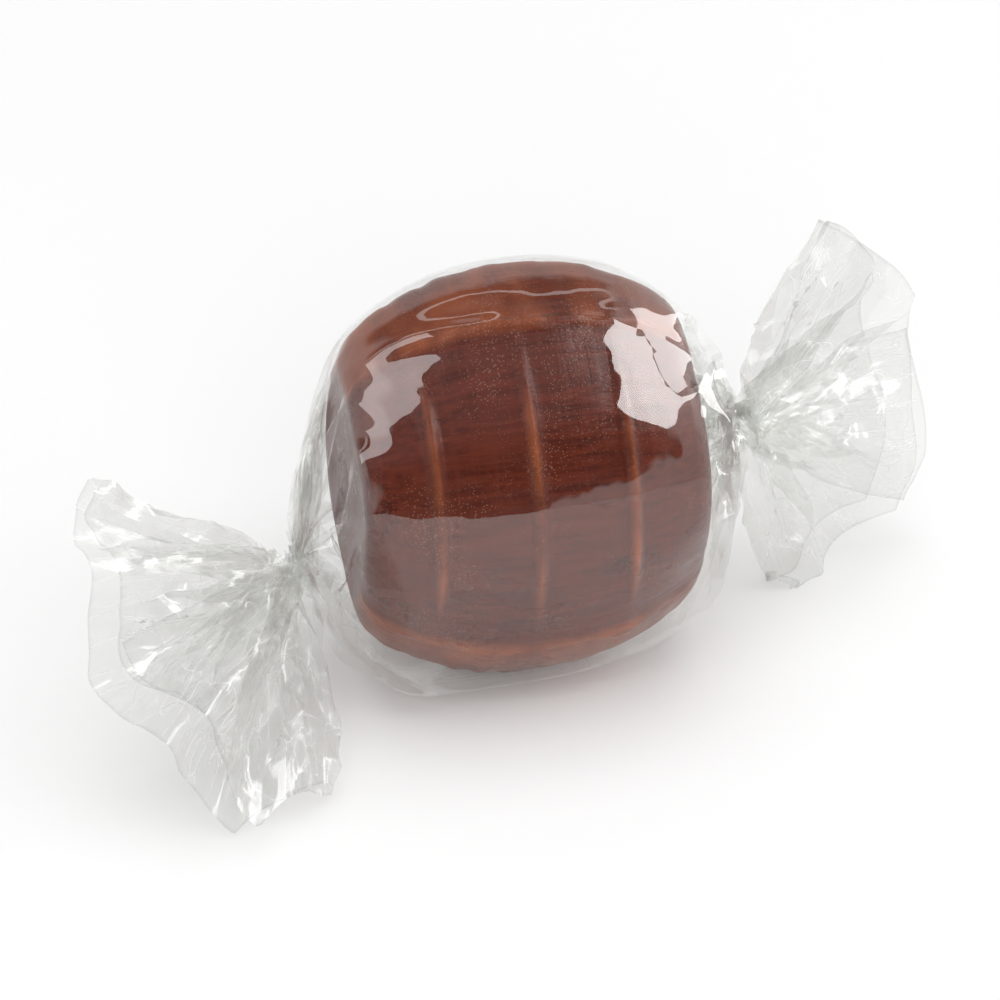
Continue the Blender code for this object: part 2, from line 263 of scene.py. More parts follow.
def blend_colour(tree, mask, first, second):
    """Two colours mixed by a mask. Each is a socket or a tuple."""
    node = tree.nodes.new("ShaderNodeMix")
    node.data_type = "RGBA"
    wire(tree, mask, node.inputs[0])
    for colour, socket in ((first, node.inputs[6]), (second, node.inputs[7])):
        if isinstance(colour, tuple):
            socket.default_value = colour
        else:
            wire(tree, colour, socket)
    return node.outputs[2]


def calculate(tree, operation, first, second):
    """A math node on two sockets or numbers."""
    node = tree.nodes.new("ShaderNodeMath")
    node.operation = operation
    for value, socket in ((first, node.inputs[0]), (second, node.inputs[1])):
        if isinstance(value, (int, float)):
            socket.default_value = value
        else:
            wire(tree, value, socket)
    return node.outputs[0]


def stored(tree, name):
    """The outputs of what a piece keeps at each point under this name."""
    node = tree.nodes.new("ShaderNodeAttribute")
    node.attribute_name = name
    return node.outputs


def boiled_sugar():
    """Dark brown glassy sugar, streaked lengthwise, lighter where thinner and on the side band by painted
    light, and specked with pale sugar.
    """
    material = bpy.data.materials.new("boiled_sugar")
    material.use_nodes = True
    tree = material.node_tree
    shader = tree.nodes["Principled BSDF"]
    place = tree.nodes.new("ShaderNodeTexCoord").outputs["Object"]
    grains_per_mm, speck_cover, bump_depth = 6.5, 0.24, 0.12

    along = stretched_noise(tree, place, (0.12, 3.2, 3.2), 8.0, 0.62)
    round_it = stretched_noise(tree, place, (4.0, 0.15, 0.15), 5.0)
    cloud = stretched_noise(tree, place, (0.22, 0.35, 0.35), 3.0)
    deep = (0.043, 0.0052, 0.0021, 1.0)
    brown = (0.132, 0.0215, 0.0084, 1.0)
    # The lighter colour of thinner sugar on hoops and ridges, which on the side band also serves as painted
    # light from above.
    thin_and_lit_sugar = (0.330, 0.0860, 0.0290, 1.0)
    sugar = (0.55, 0.34, 0.24, 1.0)
    colour = blend_colour(tree, remap(tree, along, 0.34, 0.66), deep, brown)
    colour = blend_colour(tree, remap(tree, round_it, 0.50, 0.70, 0.0, 0.6), colour, brown)
    colour = blend_colour(tree, remap(tree, cloud, 0.35, 0.65, 0.0, 0.5), colour, brown)
    worn = stretched_noise(tree, place, (0.35, 0.22, 0.22), 3.0)
    # Where the lighter colour goes: hoops and ridges, and the side band as painted light from above, broken
    # up at random.
    thin_and_lit_share = calculate(tree, "MULTIPLY", remap(tree, stored(tree, "ridge")["Fac"], 0.25, 1.0),
                         remap(tree, worn, 0.38, 0.62, 0.15, 0.85))
    colour = blend_colour(tree, thin_and_lit_share, colour, thin_and_lit_sugar)

    grains = tree.nodes.new("ShaderNodeTexVoronoi")
    grains.inputs["Scale"].default_value = grains_per_mm / MM
    grains.inputs["Randomness"].default_value = 1.0
    wire(tree, place, grains.inputs["Vector"])
    patches = stretched_noise(tree, place, (0.28, 0.28, 0.28), 4.0)
    size = remap(tree, patches, 0.36, 0.66, 0.08, 0.30)
    speck = calculate(tree, "LESS_THAN", grains.outputs["Distance"], size)
    colour = blend_colour(tree, calculate(tree, "MULTIPLY", speck, speck_cover), colour, sugar)

    bump = tree.nodes.new("ShaderNodeBump")
    bump.inputs["Strength"].default_value = 0.35
    bump.inputs["Distance"].default_value = bump_depth * MM
    height = calculate(tree, "ADD", along, calculate(tree, "MULTIPLY", round_it, 0.7))
    wire(tree, height, bump.inputs["Height"], bump.outputs["Normal"], shader.inputs["Normal"],
         colour, shader.inputs["Base Color"],
         remap(tree, cloud, 0.3, 0.7, 0.22, 0.38), shader.inputs["Roughness"])
    shader.inputs["IOR"].default_value = 1.50
    shader.inputs["Specular IOR Level"].default_value = 0.30
    return material


barrel = barrel_mesh()
barrel.data.materials.append(boiled_sugar())
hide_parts("candy")
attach(barrel, "root")


# ------------------------------------------------------------------ the film wrapper
# One sheet of clear cellulose film, about 0.03 mm thick, rolled round the candy with a lap low at the back.
# Both ends are twisted tight against the candy, and each tail opens into a creased fan with a cut hem.
# The sheet is laid round the candy and then relaxed: it can't stretch, so what is spare turns to folds.

sheet_lap = 10.0
film_clearance = 0.16
shoulder_reach = candy_length / 2 + 0.5
neck_radius = 1.15
neck_length = 1.4
gather_length = 8.2
lap_angle = math.radians(248.0)
lap_lift = 0.25
laid_height = 0.06
least_height = 0.05

# Each twist: where its neck starts, the way its fan points and spreads, and the fan's sizes and folds.
left_twist = {"side": -1, "neck": (-12.1, -2.3, -2.3),
              "out": (-0.72, -0.66, -0.10), "spread": (0.42, -0.55, -0.72),
              "half_angle": math.radians(55.0), "length": 12.2, "half_gap": 1.9,
              "corner": math.radians(36.0), "corner_length": 2.8, "corner_widths": (0.28, 0.09),
              "folds": 5, "seed": 3}
right_twist = {"side": 1, "neck": (11.6, 0.8, 0.2),
               "out": (0.81, 0.52, -0.21), "spread": (-0.17, -0.14, -0.97),
               "half_angle": math.radians(68.0), "length": 11.3, "half_gap": 1.7,
               "corner": math.radians(32.0), "corner_length": 3.4, "corner_widths": (0.42, 0.25),
               "folds": 5, "seed": 8}
fold_depth = 2.0
fine_fold_depth = 0.9
layers_alike = 0.4
layers_apart = 0.6
opened_share = 0.14
neck_pleats = 15
pleat_middle = 0.60
pleat_depth = 0.40
pleat_unevenness = 1.6
neck_waist = 0.10
edge_sharpness = 0.985

# The slack film under the candy: its half length, its reach to the front and back, and a corner at the left.
slack_half_length = 3.6
slack_height = 0.3
slack_front = -3.8
slack_back = 2.0
slack_narrowing = 0.15
slack_narrowing_power = 2.5
slack_corner_place = -7.0
slack_corner_width = 1.8
slack_corner_reach = 3.2


def unit(vector):
    """The vector at length one."""
    return np.asarray(vector, float) / np.linalg.norm(vector)


def unit_rows(vectors):
    """Each vector at length one."""
    return vectors / (np.linalg.norm(vectors, axis=-1, keepdims=True) + 1e-9)


def slack_corners(x):
    """The two corners of the slack film that lies on the table, as rows of (across, front)."""
    past_slack = max(0.0, abs(x) - slack_half_length)
    beyond = min(1.0, past_slack / (candy_length / 2 - slack_half_length)) ** slack_narrowing_power
    height = slack_height - candy_centre[2]
    more = slack_corner_reach * math.exp(-((x - slack_corner_place) / slack_corner_width) ** 2)
    corners = np.array([(0.0, slack_front - more, height), (0.0, slack_back, height)])
    return np.column_stack([corners @ ACROSS, corners @ FRONT]) * (1.0 - slack_narrowing * beyond)


def polar_tables(count):
    """Places along the candy, and at each the radius of the candy and of the tight film at each angle."""
    place_count, panel_steps, band_steps = 93, 60, 16
    least_facing, end_rounding = 0.1, 1.0
    places = np.linspace(-candy_length / 2, candy_length / 2, place_count)
    angles = np.arange(count) * 2 * math.pi / count
    ways = np.radians(np.arange(0.0, 360.0, 3.0))
    toward = np.array([np.cos(ways), np.sin(ways)])
    facing = np.maximum(np.cos(angles[:, None] - ways), least_facing)
    candy, film = [], []
    for x in places:
        section, _ = barrel_section(x, panel_steps, band_steps, hoop_bumps)
        full, _ = barrel_section(x, panel_steps, band_steps, lambda place: 1.0)
        bare = section * (1.0 - rounded_in(x) / np.abs(section).max(axis=0))
        turn = np.arctan2(bare[:, 1], bare[:, 0]) % (2 * math.pi)
        order = np.argsort(turn)
        candy.append(np.interp(angles, turn[order], np.hypot(*bare[order].T), period=2 * math.pi))
        farthest = (np.vstack([full, slack_corners(x)]) @ toward).max(axis=0) + film_clearance
        rounding = max(0.0, abs(x) - candy_length / 2 + end_rounding)
        film.append((farthest / facing).min(axis=1) - 0.5 * rounding ** 2)
    return places, np.array(candy), np.array(film)


table_angles = 360
table_places, candy_radii, film_radii = polar_tables(table_angles)


def look_up(table, x, angle):
    """A table's value at each place along the candy and angle round it."""
    row = np.interp(x, table_places, np.arange(len(table_places)))
    column = (angle % (2 * math.pi)) * table_angles / (2 * math.pi)
    i = np.minimum(row.astype(int), len(table_places) - 2)
    j = column.astype(int) % table_angles
    k = (j + 1) % table_angles
    down, over = row - i, column - column.astype(int)
    upper = table[i, j] * (1 - over) + table[i, k] * over
    lower = table[i + 1, j] * (1 - over) + table[i + 1, k] * over
    return upper * (1 - down) + lower * down


round_steps = 720


def way_round(x):
    """Angles once round the film at x, and the length of film from the front panel's middle to each."""
    angles = math.pi / 2 + np.linspace(-math.pi, math.pi, round_steps + 1)
    radius = look_up(film_radii, np.full(round_steps + 1, x), angles)
    section = np.column_stack([np.cos(angles), np.sin(angles)]) * radius[:, None]
    steps = np.linalg.norm(np.diff(section, axis=0), axis=1)
    length = np.concatenate([[0.0], np.cumsum(steps)])
    return angles, length - length[round_steps // 2]


middle_angles, middle_lengths = way_round(0.0)
film_round = middle_lengths[-1] - middle_lengths[0]
lap_start = np.interp(lap_angle - 2 * math.pi, middle_angles, middle_lengths)
smooth_reach = 18.0
smooth_share = 0.7


def sleeve_row(x, rounds):
    """Film round the candy at x, for each number of rounds from the lap's first edge.

    The front is drawn smooth, so the slack towards the candy's narrower ends is all taken up behind.
    """
    angles, lengths = way_round(x)
    from_front = lap_start + rounds * film_round
    half, middle_half = (lengths[-1] - lengths[0]) / 2, film_round / 2
    smooth = min(smooth_reach, smooth_share * half)
    beyond = np.maximum(np.abs(from_front) - smooth, 0.0) * (half - smooth) / (middle_half - smooth)
    place = np.sign(from_front) * (np.minimum(np.abs(from_front), smooth) + beyond)
    turns = np.floor((place - lengths[0]) / (2 * half))
    angle = np.interp(place - turns * 2 * half, lengths, angles) + 2 * math.pi * turns
    over_lap = lap_lift * np.clip(rounds - 1.0, 0.0, 0.2)
    reach = look_up(film_radii, np.full(len(rounds), x), angle) + over_lap
    ring = np.column_stack([reach * np.cos(angle), reach * np.sin(angle)])
    ring = place_ring(x, ring)
    ring[:, 2] = np.maximum(ring[:, 2], laid_height)
    return ring


def fan_frame(twist):
    """The way that the fan points, and the way that it spreads, at right angles to the first."""
    out = unit(twist["out"])
    spread = np.array(twist["spread"])
    return out, unit(spread - out * (spread @ out))


def neck_row(twist, share, rounds):
    """Film gathered in the twisted neck: many small pleats, wound on as the neck runs out to the fan."""
    side = twist["side"]
    out, spread = fan_frame(twist)
    way = unit(side * np.array([1.0, 0.0, 0.0]) * (1.0 - share) + out * share)
    level = unit(ACROSS - way * (ACROSS @ way))
    upright = np.cross(side * way, level)
    last_level = unit(ACROSS - out * (ACROSS @ out))
    last_upright = np.cross(side * out, last_level)
    settle = math.atan2(spread @ last_upright, spread @ last_level) % (2 * math.pi)
    angle = lap_angle + 2 * math.pi * rounds
    pleat = pleat_middle + pleat_depth * np.sin(neck_pleats * angle + pleat_unevenness * np.sin(2 * angle))
    radius = neck_radius * pleat * (1.0 + neck_waist * math.cos(math.pi * 2 * share))
    turned = angle + share * settle
    middle = candy_centre + np.array(twist["neck"]) + out * neck_length * share
    ring = middle + np.outer(radius * np.cos(turned), level)
    return ring + np.outer(radius * np.sin(turned), upright)


def zigzag(rng, across, folds):
    """A folded line over places from -1 to 1: straight runs of uneven width and folds of uneven depth."""
    knots = np.linspace(-1.0, 1.0, folds + 1) + rng.uniform(-0.3, 0.3, folds + 1) / folds
    depths = rng.uniform(0.55, 1.0, folds + 1) * (-1.0) ** np.arange(folds + 1)
    return np.interp(across, knots, depths)


def fan_places(twist, rounds):
    """The film's turn round the twist, its place and its angle across the fan, and its length to the hem."""
    turned = lap_angle + 2 * math.pi * rounds
    across = np.arcsin(edge_sharpness * np.cos(turned)) / math.asin(edge_sharpness)
    angle = twist["half_angle"] * across
    width = np.where(angle < twist["corner"], *twist["corner_widths"])
    corner = twist["corner_length"] * np.exp(-np.abs(angle - twist["corner"]) / width)
    return turned, across, angle, twist["length"] + corner


def fan_row(twist, share, rounds):
    """Film of the opened tail: two folded layers side by side that join at the fan's two edges.

    Broad folds run out straight to the hem, and finer ones fade between the neck and the hem.
    """
    side = twist["side"]
    out, spread = fan_frame(twist)
    layer = np.cross(side * out, spread)
    base = candy_centre + np.array(twist["neck"]) + out * neck_length
    turned, across, angle, hem = fan_places(twist, rounds)
    reach = hem * share
    gap = neck_radius * (1.0 - share) ** 2 + twist["half_gap"] * (1.0 - (1.0 - share) ** 2)
    upper = np.sin(turned) > 0.0
    waves = []
    for layer_seed in (0, 1):
        rng = np.random.default_rng(twist["seed"] + 10 * layer_seed)
        broad = zigzag(rng, across, twist["folds"]) * fold_depth * share
        fine = zigzag(rng, across, 3 * twist["folds"]) * fine_fold_depth * (1.0 - share) * share ** 0.5
        waves.append(broad + fine)
    joined = 1.0 - across ** 8
    lower_waves = layers_alike * waves[0] + layers_apart * waves[1]
    sideways = gap * np.sin(turned) + np.where(upper, waves[0], lower_waves) * joined
    ray = np.outer(np.cos(angle), out) + np.outer(np.sin(angle), spread)
    return base + reach[:, None] * ray + np.outer(sideways, layer)


def sheet_row(place, rounds):
    """Film at this place along the sheet, in millimetres from its middle, before it is relaxed."""
    twist = left_twist if place < 0 else right_twist
    from_middle = abs(place)
    if from_middle <= shoulder_reach:
        return sleeve_row(place, rounds)
    from_shoulder = from_middle - shoulder_reach
    if from_shoulder <= gather_length:
        share = from_shoulder / gather_length
        start = sleeve_row(twist["side"] * shoulder_reach, rounds)
        finish = neck_row(twist, 0.0, rounds)
        return start + (finish - start) * share
    from_neck = from_shoulder - gather_length
    if from_neck <= neck_length:
        return neck_row(twist, from_neck / neck_length, rounds)
    share = (from_neck - neck_length) / twist["length"]
    if share >= opened_share:
        return fan_row(twist, share, rounds)
    start = neck_row(twist, 1.0, rounds)
    return start + (fan_row(twist, opened_share, rounds) - start) * share / opened_share


sheet_ends = [-(shoulder_reach + gather_length + neck_length + left_twist["length"]),
              shoulder_reach + gather_length + neck_length + right_twist["length"]]
sheet_width = film_round + sheet_lap


def cells_over_sheet(along, over):
    """How many cells of these sizes the sheet has each way."""
    return int((sheet_ends[1] - sheet_ends[0]) / along), int(sheet_width / over)


def flat_sheet(places, across):
    """The sheet before it is rolled, as points in the plane. Its hems run out to a corner in each fan."""
    flat = np.empty((len(places), len(across), 2))
    flat[..., 1] = across
    for row, place in enumerate(places):
        twist = left_twist if place < 0 else right_twist
        share = max(0.0, abs(place) - shoulder_reach - gather_length - neck_length) / twist["length"]
        hem = fan_places(twist, across / film_round)[3]
        flat[row, :, 0] = place + twist["side"] * share * (hem - twist["length"])
    return flat


def pull(first, second, rest, stiff, squeeze):
    """Move pairs of points towards the distance that they have in the flat sheet."""
    gap = second - first
    length = np.sqrt((gap * gap).sum(axis=-1)) + 1e-9
    wrong = 1.0 - rest / length
    move = gap * (0.5 * wrong * np.where(wrong > 0.0, stiff, squeeze))[..., None]
    first += move
    second -= move


# Two cells whose far ends come this close, as a share of their flat length, are a crease that has given way.
crease_share = 0.84
crease_range = 0.08
crease_stiffness = 0.06
hardest_push = 0.3


def flatten(first, second, rest, bend):
    """Push points two cells apart towards a flat sheet. A sharp crease has given way and hardly pushes."""
    gap = second - first
    length = np.sqrt((gap * gap).sum(axis=-1)) + 1e-9
    folded = length / rest
    stiffness = np.clip((folded - crease_share) / crease_range, crease_stiffness, 1.0)
    push = np.minimum(1.0 - 1.0 / folded, 0.0) * bend * stiffness
    move = gap * (0.5 * np.maximum(push, -hardest_push))[..., None]
    first += move
    second -= move


def keep_off(sheet):
    """Push film out of the candy and up off the table."""
    away = sheet - candy_centre
    across, front = away @ ACROSS, away @ FRONT
    x = away[..., 0]
    radius = np.hypot(across, front)
    angle = np.arctan2(front, across)
    allowed = look_up(candy_radii, x, angle) + film_clearance
    deep = allowed - radius
    end_deep = candy_length / 2 + film_clearance - np.abs(x)
    inside = (deep > 0) & (end_deep > 0)
    sideways = inside & (deep <= end_deep)
    endways = inside & (deep > end_deep)
    grow = np.where(sideways, deep / np.maximum(radius, 0.1), 0.0)[..., None]
    sheet += grow * (across[..., None] * ACROSS + front[..., None] * FRONT)
    sheet[..., 0] += np.where(endways, np.sign(x) * end_deep, 0.0)
    sheet[..., 2] = np.maximum(sheet[..., 2], least_height)


def length_between(first, second):
    """The distance from each point to its partner."""
    return np.linalg.norm(second - first, axis=-1)


# How hard slanting pairs of points pull together, how hard pairs push apart, how far from the necks they
# push less, what counts as neck on either side of it, and how fast points may move.
pull_slanting = 0.7
push_apart = 0.6
push_slanting = 0.5
neck_gathers_over = 2.6
neck_margin = 0.05
speed_kept = 0.88
top_speed = 0.12


def relax(sheet, goal, places, flat, work, hold, bend):
    """Let the sheet settle: no stretching, some stiffness against bending, and a light hold on its place."""
    from_shoulder = np.abs(places) - shoulder_reach
    neck_middle = gather_length + neck_length / 2
    near_neck = np.exp(-((from_shoulder - neck_middle) / neck_gathers_over) ** 2)
    squeeze = (push_apart * (1.0 - near_neck))[:, None]
    past_neck = from_shoulder > gather_length
    before_fan = from_shoulder < gather_length + neck_length + neck_margin
    in_neck = (from_shoulder > gather_length - neck_margin) & before_fan
    held = np.where(past_neck, hold[1], hold[0])[:, None, None]
    along, along_two = length_between(flat[:-1], flat[1:]), length_between(flat[:-2], flat[2:])
    over, over_two = length_between(flat[:, :-1], flat[:, 1:]), length_between(flat[:, :-2], flat[:, 2:])
    slant = length_between(flat[:-1, :-1], flat[1:, 1:])
    other_slant = length_between(flat[:-1, 1:], flat[1:, :-1])
    speed = np.zeros_like(sheet)
    for _ in range(work):
        before = sheet.copy()
        sheet += speed
        sheet += (goal - sheet) * held
        for start in (0, 1):
            pull(sheet[start:-1:2], sheet[start + 1::2], along[start::2], 1.0, push_apart)
            pull(sheet[:, start:-1:2], sheet[:, start + 1::2], over[:, start::2], 1.0, squeeze)
            rows = sheet[start:-1:2]
            after = sheet[start + 1::2]
            push = push_slanting * squeeze[start:-1:2]
            pull(rows[:, :-1], after[:, 1:], slant[start::2], pull_slanting, push)
            pull(rows[:, 1:], after[:, :-1], other_slant[start::2], pull_slanting, push)
        for first in (0, 1, 2, 3):
            flatten(sheet[first:-2:4], sheet[first + 2::4], along_two[first::4], bend)
            flatten(sheet[:, first:-2:4], sheet[:, first + 2::4], over_two[:, first::4],
                    bend * squeeze / push_apart)
        keep_off(sheet)
        sheet[in_neck] = goal[in_neck]
        speed = np.clip((sheet - before) * speed_kept, -top_speed, top_speed)
    return sheet


film_cell = 0.24
even_turns = 8

# The size in millimetres of each layer of crumples and its share of the depth, and the mean height of a hill.
crumple_layers = ((4.2, 1.0), (2.3, 0.55))
mean_hill = 0.35


def point_normals(sheet):
    """The way the sheet faces at each of its points."""
    return unit_rows(np.cross(np.gradient(sheet, axis=0), np.gradient(sheet, axis=1)))


def crumpled(sheet, rng, amount):
    """Fine sharp creases where the film has been handled, by this amount at each point, in millimetres."""
    rows, columns = sheet.shape[:2]
    for cell, depth in crumple_layers:
        cells = (int(rows * film_cell / cell), int(columns * film_cell / cell))
        valleys = np.abs(smooth_noise(rng, (rows, columns), cells)) - mean_hill
        sheet = sheet + point_normals(sheet) * (amount * depth * valleys)[..., None]
    return sheet


def cell_normals(sheet):
    """The way each cell of the sheet faces."""
    return unit_rows(np.cross(sheet[1:, 1:] - sheet[:-1, :-1], sheet[1:, :-1] - sheet[:-1, 1:]))


def creased(sheet):
    """The sheet flat between sharp creases: cells that face nearly alike are turned to match."""
    alike, turns, moves = 0.30, 14, 24
    normals = cell_normals(sheet)
    rows, columns = normals.shape[:2]
    for _ in range(turns):
        padded = np.pad(normals, ((1, 1), (1, 1), (0, 0)), mode="edge")
        total = np.zeros_like(normals)
        for down in range(3):
            for over in range(3):
                near = padded[down:down + rows, over:over + columns]
                apart = ((near - normals) ** 2).sum(axis=-1, keepdims=True)
                total += near * np.exp(-apart / (2 * alike ** 2))
        normals = total / np.linalg.norm(total, axis=-1, keepdims=True)
    for _ in range(moves):
        middles = (sheet[1:, 1:] + sheet[:-1, :-1] + sheet[1:, :-1] + sheet[:-1, 1:]) / 4
        shift = np.zeros_like(sheet)
        count = np.zeros(sheet.shape[:2] + (1,))
        for rows_at in (slice(0, -1), slice(1, None)):
            for columns_at in (slice(0, -1), slice(1, None)):
                off = ((middles - sheet[rows_at, columns_at]) * normals).sum(axis=-1, keepdims=True)
                shift[rows_at, columns_at] += off * normals
                count[rows_at, columns_at] += 1.0
        sheet = sheet + shift / count
    return sheet


def evened(sheet, share):
    """The sheet with its finest unevenness taken out, by this share at each point."""
    for _ in range(even_turns):
        even = sheet.copy()
        even[1:-1] = (sheet[:-2] + 2.0 * sheet[1:-1] + sheet[2:]) / 4
        even[:, 1:-1] = (even[:, :-2] + 2.0 * even[:, 1:-1] + even[:, 2:]) / 4
        sheet = sheet + (even - sheet) * share[..., None]
    return sheet


def finer(sheet, rows, columns):
    """The same sheet on a finer grid."""
    for axis, count in ((0, rows), (1, columns)):
        place = np.linspace(0.0, sheet.shape[axis] - 1.0, count)
        first = np.minimum(place.astype(int), sheet.shape[axis] - 2)
        shape = (-1, 1, 1) if axis == 0 else (1, -1, 1)
        part = (place - first).reshape(shape)
        sheet = np.take(sheet, first, axis) * (1 - part) + np.take(sheet, first + 1, axis) * part
    return sheet


# Each stage's grid cell in millimetres, its rounds of work, its hold on film by the candy and past the necks,
# its stiffness, and the size and depth of the random hills that start its folds.
relax_stages = (
    {"cell": 2.0, "work": 300, "hold": (0.010, 0.010), "bend": 1.0, "hill": 9.0, "depth": 0.80},
    {"cell": 1.0, "work": 400, "hold": (0.006, 0.003), "bend": 1.0, "hill": 4.0, "depth": 0.35},
    {"cell": 0.5, "work": 250, "hold": (0.004, 0.001), "bend": 0.9, "hill": 1.8, "depth": 0.20},
    {"cell": film_cell, "work": 120, "hold": (0.002, 0.001), "bend": 0.7, "hill": 2.0, "depth": 0.0},
)
tail_opens_over = 3.0
side_slack_over = 3.0
behind_from = 14.0
behind_over = 8.0
left_shoulder_loose = 0.05
right_shoulder_loose = 0.4
shoulder_width = 1.6
crumple_depth = 0.50


def slackness(places, across):
    """How slack film is in the tails, at the sides, behind the candy and at its shoulders, up to 1 each."""
    from_shoulder = np.abs(places) - shoulder_reach
    tail = np.clip((from_shoulder - gather_length - neck_length) / tail_opens_over, 0.0, 1.0)
    side = np.clip((from_shoulder + side_slack_over) / side_slack_over, 0.0, 0.5)
    side = side * (from_shoulder < gather_length)
    behind = np.clip((np.abs(lap_start + across) - behind_from) / behind_over, 0.0, 1.0)
    end_slack = np.where(places > 0, right_shoulder_loose, left_shoulder_loose)
    shoulder = end_slack * np.exp(-(from_shoulder / shoulder_width) ** 2)
    return tail[:, None], side[:, None], behind, shoulder[:, None]


def film_sheet():
    """The whole sheet: relaxed from a coarse grid to a fine one, creased, evened where it is tight and
    crumpled where it is loose."""
    rng = np.random.default_rng(11)
    sheet = None
    for stage in relax_stages:
        cell, hill = stage["cell"], stage["hill"]
        rows = int(round((sheet_ends[1] - sheet_ends[0]) / cell)) + 1
        columns = int(round(sheet_width / cell)) + 1
        places = np.linspace(*sheet_ends, rows)
        across = np.linspace(0.0, sheet_width, columns)
        goal = np.array([sheet_row(place, across / film_round) for place in places])
        sheet = goal.copy() if sheet is None else finer(sheet, rows, columns)
        tail, side, behind, shoulder = slackness(places, across)
        amount = (stage["depth"] * (tail + shoulder + 0.5 * side * behind))[..., None]
        cells = (int(rows * cell / hill), int(columns * cell / hill))
        hills = np.stack([smooth_noise(rng, (rows, columns), cells) for _ in range(3)], axis=-1)
        sheet = sheet + amount * hills
        flat = flat_sheet(places, across)
        sheet = relax(sheet, goal, places, flat, stage["work"], stage["hold"], stage["bend"])
    sheet = creased(sheet)
    gathered = 0.5 * (shoulder + side) * np.where(places > 0, 1.0, 0.3)[:, None]
    loose = tail + gathered + 0.4 * np.minimum(behind, 1.0 - tail)
    drawn_tight = np.clip(1.0 - 4.0 * loose, 0.0, 1.0)
    return crumpled(evened(sheet, drawn_tight), rng, crumple_depth * loose)


lift_seed = 26
stand_off = 0.16
stand_off_hills = (5.5, 6.5)
crinkle_depth = 0.24
crinkle_hills = (3.6, 1.1)
crinkle_fade = 2.0
upper_ridge_angle = math.radians(23.0)
upper_ridge_spread = 0.13


def lifted(sheet, rng):
    """The sheet a little off the candy, with fine crinkles where it is drawn over the upper ridge."""
    grid = sheet.shape[:2]
    lift = stand_off * (1.0 + smooth_noise(rng, grid, cells_over_sheet(*stand_off_hills)))
    away = sheet - candy_centre
    away[..., 0] = 0.0
    from_ridge = np.arctan2(away @ FRONT, away @ ACROSS) - upper_ridge_angle
    on_candy = np.clip((candy_length / 2 - np.abs(sheet[..., 0])) / crinkle_fade, 0.0, 1.0)
    crinkle = crinkle_depth * smooth_noise(rng, grid, cells_over_sheet(*crinkle_hills))
    lift = lift + crinkle * on_candy * np.exp(-(from_ridge / upper_ridge_spread) ** 2)
    sheet = sheet + unit_rows(away) * lift[..., None]
    keep_off(sheet)
    return sheet


# Where the twisting has worked the film, from inside the gathers outwards, and where it is slack behind.
worked_before_neck = 6.0
worked_over = 4.5
tail_worked_over = 4.0
slack_worked = 0.38
slack_worked_from = 12.5
slack_worked_over = 3.0
crease_angle = math.radians(32.0)


def handled_share(places, across):
    """How much fingers have worked the film: not over the front panel, a little behind, most in the tails."""
    from_neck = np.abs(places) - shoulder_reach - gather_length - neck_length
    gathers = np.clip((from_neck + worked_before_neck) / worked_over, 0.0, 1.0)
    tails = np.clip(from_neck / tail_worked_over, 0.0, 1.0)
    from_middle = np.abs(lap_start + across)
    slack = slack_worked * np.clip((from_middle - slack_worked_from) / slack_worked_over, 0.0, 1.0)
    return np.maximum((0.5 * gathers + 0.5 * tails)[:, None], slack[None, :])


def sheet_mesh(sheet):
    """The sheet as a mesh whose points keep how handled they are, their flat place, and the cut edge."""
    rows, columns = sheet.shape[:2]
    faces = [(row * columns + column, row * columns + column + 1,
              (row + 1) * columns + column + 1, (row + 1) * columns + column)
             for row in range(rows - 1) for column in range(columns - 1)]
    piece = mesh_piece("film_wrapper", sheet.reshape(-1, 3), faces)
    piece.data.set_sharp_from_angle(angle=crease_angle)
    places, across = np.linspace(*sheet_ends, rows), np.linspace(0.0, sheet_width, columns)
    laid = np.concatenate([flat_sheet(places, across), np.zeros((rows, columns, 1))], axis=-1) * MM
    edge = np.ones((rows, columns))
    edge[1:-1, 1:-1] = 0.0
    store(piece, "handled", handled_share(places, across).ravel())
    store(piece, "laid", laid.reshape(-1, 3))
    store(piece, "cut_edge", edge.ravel())
    return piece


def from_half(tree, value):
    """How far a value is from one half."""
    return calculate(tree, "ABSOLUTE", calculate(tree, "SUBTRACT", value, 0.5), 0.0)


